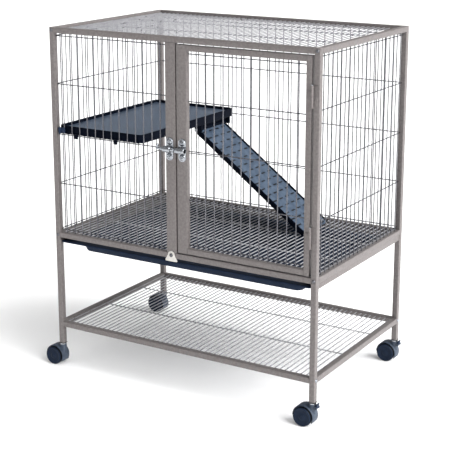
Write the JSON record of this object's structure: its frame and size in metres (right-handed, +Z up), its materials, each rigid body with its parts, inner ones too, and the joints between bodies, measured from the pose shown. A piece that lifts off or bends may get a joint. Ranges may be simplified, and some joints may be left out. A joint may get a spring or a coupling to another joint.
{
  "type": "ferret cage",
  "caption": "Wheeled ferret cage of square tube and welded wire, with a latched front door, slide-out tray, inner platform with ramp, and a lower wire shelf.",
  "frame": {"origin": "centre of the bounding box on the floor under the wheels", "axes": "+Z up, -Y towards the front with the door, +X towards the door hinges"},
  "size_m": [0.836, 0.5386, 0.93],
  "materials": {
    "frame_paint": "satin taupe hammered powder coat",
    "wire_coat": "light grey coated steel wire",
    "tray_plastic": "dark navy moulded plastic",
    "platform_plastic": "grey blue top with navy rim",
    "ramp_plastic": "grey blue textured tread with navy sides",
    "caster_plastic": "dark navy moulded plastic",
    "dark_plastic": "dark moulded plastic",
    "cap_plastic": "taupe moulded plastic",
    "zinc": "bright zinc plated steel",
    "dark_bolt": "dark plated steel",
    "wheel_tread": "dark navy tread"
  },
  "bodies": {
    "root": {"front_frame": "frame_paint", "back_frame": "frame_paint", "left_side_rails": "frame_paint", "right_side_rails": "frame_paint", "front_wires": "wire_coat", "back_wires": "wire_coat", "left_side_wires": "wire_coat", "right_side_wires": "wire_coat", "top_grille": "wire_coat", "floor_grille": "wire_coat", "left_front_leg": "frame_paint", "right_front_leg": "frame_paint", "left_back_leg": "frame_paint", "right_back_leg": "frame_paint", "leg_joiners": "dark_plastic", "post_caps": "cap_plastic", "rail_plugs": "dark_plastic", "frame_bolts": "dark_bolt", "shelf_frame": "frame_paint", "shelf_wires": "wire_coat", "shelf_bolts": "zinc", "tray_runners": "frame_paint", "tray_stop": "frame_paint", "tray_guard_pivot": "zinc", "platform": "platform_plastic", "platform_knob": "caster_plastic", "ramp_pin": "zinc", "post_hinge_leaves": "frame_paint", "hinge_pins": "zinc", "latch_housing": "zinc", "latch_screws": "zinc", "caster_sockets": "dark_plastic", "caster_stems": "zinc"},
    "door": {"door_frame": "frame_paint", "door_wires": "wire_coat", "door_hinge_leaves": "frame_paint", "latch_keeper": "zinc", "keeper_sleeve": "zinc", "keeper_screws": "zinc"},
    "bolt": {"latch_bolt": "zinc"},
    "tray_body": {"tray": "tray_plastic"},
    "guard": {"tray_guard": "zinc"},
    "ramp_body": {"ramp": "ramp_plastic"},
    "left_front_caster": {"left_front_hood": "caster_plastic"},
    "left_front_wheel_pair": {"left_front_wheels": "wheel_tread", "left_front_axle": "zinc"},
    "right_front_caster": {"right_front_hood": "caster_plastic"},
    "right_front_wheel_pair": {"right_front_wheels": "wheel_tread", "right_front_axle": "zinc"},
    "left_back_caster": {"left_back_hood": "caster_plastic"},
    "left_back_wheel_pair": {"left_back_wheels": "wheel_tread", "left_back_axle": "zinc"},
    "right_back_caster": {"right_back_hood": "caster_plastic"},
    "right_back_wheel_pair": {"right_back_wheels": "wheel_tread", "right_back_axle": "zinc"},
    "right_front_pedal": {"right_front_brake": "caster_plastic"},
    "right_back_pedal": {"right_back_brake": "caster_plastic"}
  },
  "joints": [
    {"name": "door_hinge", "type": "hinge", "parent": "root", "child": "door", "pos_m": [0.392, -0.25598, 0.6475], "axis": [0, 0, 1], "range_deg": [0, 160]},
    {"name": "bolt_slide", "type": "slide", "parent": "root", "child": "bolt", "axis": [1, 0, 0], "range_m": [0, 0.014]},
    {"name": "tray_slide", "type": "slide", "parent": "root", "child": "tray_body", "axis": [0, -1, 0], "range_m": [0, 0.42]},
    {"name": "guard_pivot", "type": "hinge", "parent": "root", "child": "guard", "pos_m": [-0.002, -0.25403, 0.374], "axis": [0, 1, 0], "range_deg": [-95, 95]},
    {"name": "ramp_swing", "type": "hinge", "parent": "root", "child": "ramp_body", "pos_m": [-0.115, 0.12052, 0.6347], "axis": [0, -1, 0], "range_deg": [0, 70]},
    {"name": "left_front_swivel", "type": "hinge", "parent": "root", "child": "left_front_caster", "pos_m": [-0.3695, -0.24497, 0.05], "axis": [0, 0, 1], "continuous": true},
    {"name": "left_front_roll", "type": "hinge", "parent": "left_front_caster", "child": "left_front_wheel_pair", "pos_m": [-0.3895, -0.24497, 0.025], "axis": [0, 1, 0], "continuous": true},
    {"name": "right_front_swivel", "type": "hinge", "parent": "root", "child": "right_front_caster", "pos_m": [0.4025, -0.24497, 0.05], "axis": [0, 0, 1], "continuous": true},
    {"name": "right_front_roll", "type": "hinge", "parent": "right_front_caster", "child": "right_front_wheel_pair", "pos_m": [0.3825, -0.24497, 0.025], "axis": [0, 1, 0], "continuous": true},
    {"name": "left_back_swivel", "type": "hinge", "parent": "root", "child": "left_back_caster", "pos_m": [-0.3695, 0.24802, 0.05], "axis": [0, 0, 1], "continuous": true},
    {"name": "left_back_roll", "type": "hinge", "parent": "left_back_caster", "child": "left_back_wheel_pair", "pos_m": [-0.3895, 0.24802, 0.025], "axis": [0, 1, 0], "continuous": true},
    {"name": "right_back_swivel", "type": "hinge", "parent": "root", "child": "right_back_caster", "pos_m": [0.4025, 0.24802, 0.05], "axis": [0, 0, 1], "continuous": true},
    {"name": "right_back_roll", "type": "hinge", "parent": "right_back_caster", "child": "right_back_wheel_pair", "pos_m": [0.3825, 0.24802, 0.025], "axis": [0, 1, 0], "continuous": true},
    {"name": "right_front_brake_press", "type": "hinge", "parent": "right_front_caster", "child": "right_front_pedal", "pos_m": [0.415, -0.24497, 0.05], "axis": [0, 1, 0], "range_deg": [0, 25]},
    {"name": "right_back_brake_press", "type": "hinge", "parent": "right_back_caster", "child": "right_back_pedal", "pos_m": [0.415, 0.24802, 0.05], "axis": [0, 1, 0], "range_deg": [0, 25]}
  ]
}
